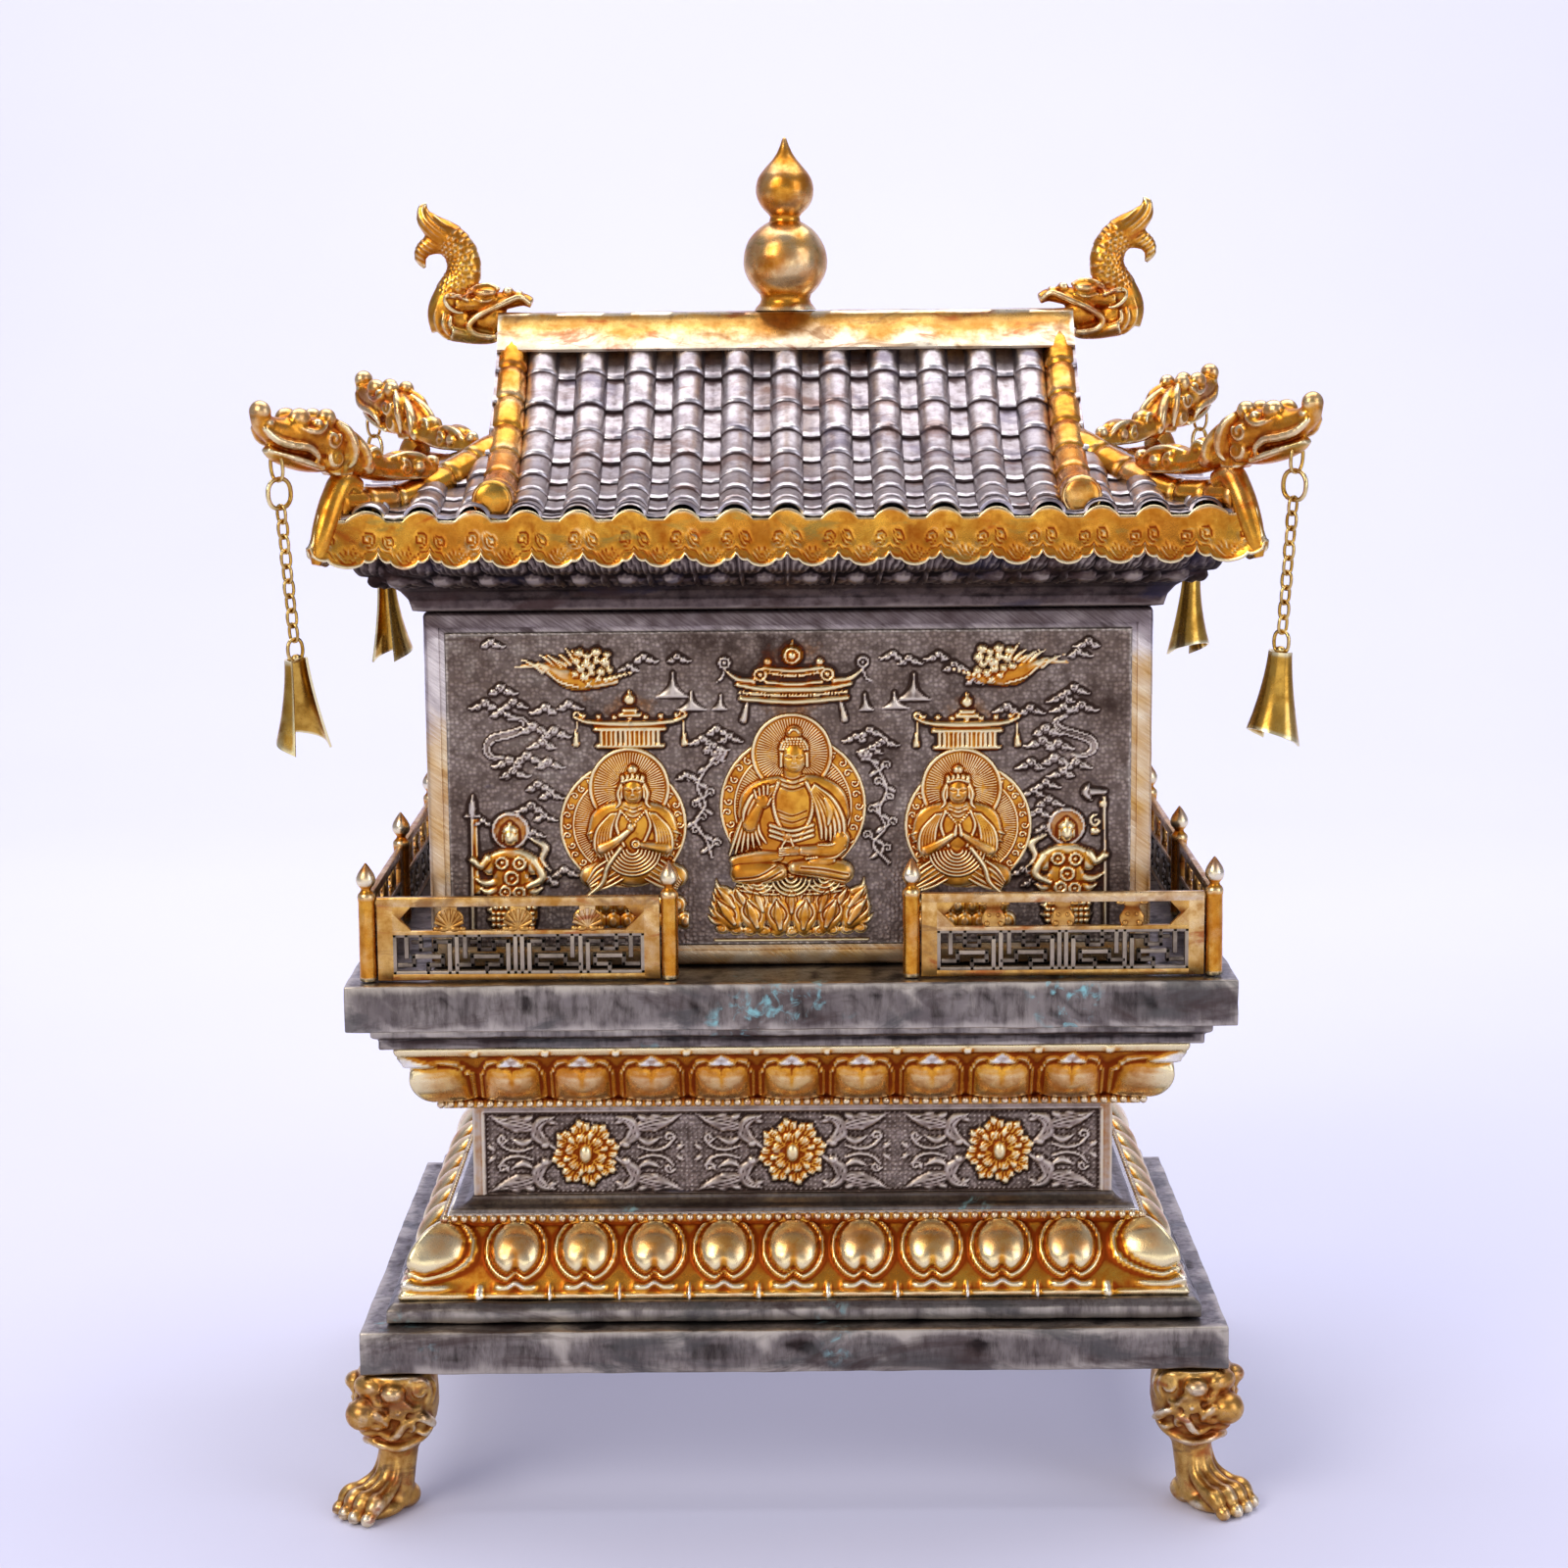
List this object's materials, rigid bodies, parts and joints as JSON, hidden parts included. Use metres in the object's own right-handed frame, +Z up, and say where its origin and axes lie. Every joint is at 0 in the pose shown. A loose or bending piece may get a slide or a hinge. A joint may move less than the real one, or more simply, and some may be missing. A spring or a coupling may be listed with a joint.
{
  "type": "pagoda shrine",
  "caption": "Table shrine in gilt and oxidised silver: a pagoda hall with a tiled roof, corner dragons and wind bells on a railed lotus terrace with lion-mask paw feet.",
  "frame": {"origin": "middle of the object's bounding box in plan, at the floor under the paws", "axes": "+Z up, +X to the right as seen from the front; the figured front faces -Y"},
  "size_m": [0.2688, 0.2048, 0.373],
  "materials": {
    "gilding": "mercury gilding over silver, rubbed on the edges",
    "oxidised_silver": "silver darkened by tarnish, satin",
    "tile_silver": "brushed silver with worn bright crests",
    "relief_silver": "chased silver with gilt figures, dark in the ground",
    "brass_wire": "drawn brass wire and rolled brass sheet"
  },
  "bodies": {
    "root": {"back_left_bell_chain": "brass_wire", "back_left_corner_post": "gilding", "back_left_gate_post": "gilding", "back_left_hip_dragon": "gilding", "back_left_leg": "gilding", "back_left_railing": "gilding", "back_left_ridge": "gilding", "back_relief_plate": "relief_silver", "back_right_bell_chain": "brass_wire", "back_right_corner_post": "gilding", "back_right_gate_post": "gilding", "back_right_hip_dragon": "gilding", "back_right_leg": "gilding", "back_right_railing": "gilding", "back_right_ridge": "gilding", "back_valance": "gilding", "base_slab": "oxidised_silver", "base_step": "oxidised_silver", "feather_cornice": "oxidised_silver", "front_left_bell_chain": "brass_wire", "front_left_corner_post": "gilding", "front_left_gate_post": "gilding", "front_left_hip_dragon": "gilding", "front_left_leg": "gilding", "front_left_railing": "gilding", "front_left_ridge": "gilding", "front_relief_plate": "relief_silver", "front_right_bell_chain": "brass_wire", "front_right_corner_post": "gilding", "front_right_gate_post": "gilding", "front_right_hip_dragon": "gilding", "front_right_leg": "gilding", "front_right_railing": "gilding", "front_right_ridge": "gilding", "front_valance": "gilding", "gourd_finial": "gilding", "hall_body": "gilding", "left_back_railing": "gilding", "left_front_railing": "gilding", "left_middle_post": "gilding", "left_relief_plate": "relief_silver", "left_ridge_dragon": "gilding", "left_valance": "gilding", "lower_lotus_band": "gilding", "main_ridge": "gilding", "right_back_railing": "gilding", "right_front_railing": "gilding", "right_middle_post": "gilding", "right_relief_plate": "relief_silver", "right_ridge_dragon": "gilding", "right_valance": "gilding", "terrace_moulding": "oxidised_silver", "terrace_slab": "oxidised_silver", "tiled_roof": "tile_silver", "upper_lotus_band": "gilding", "waist_block": "relief_silver"}
  },
  "joints": []
}
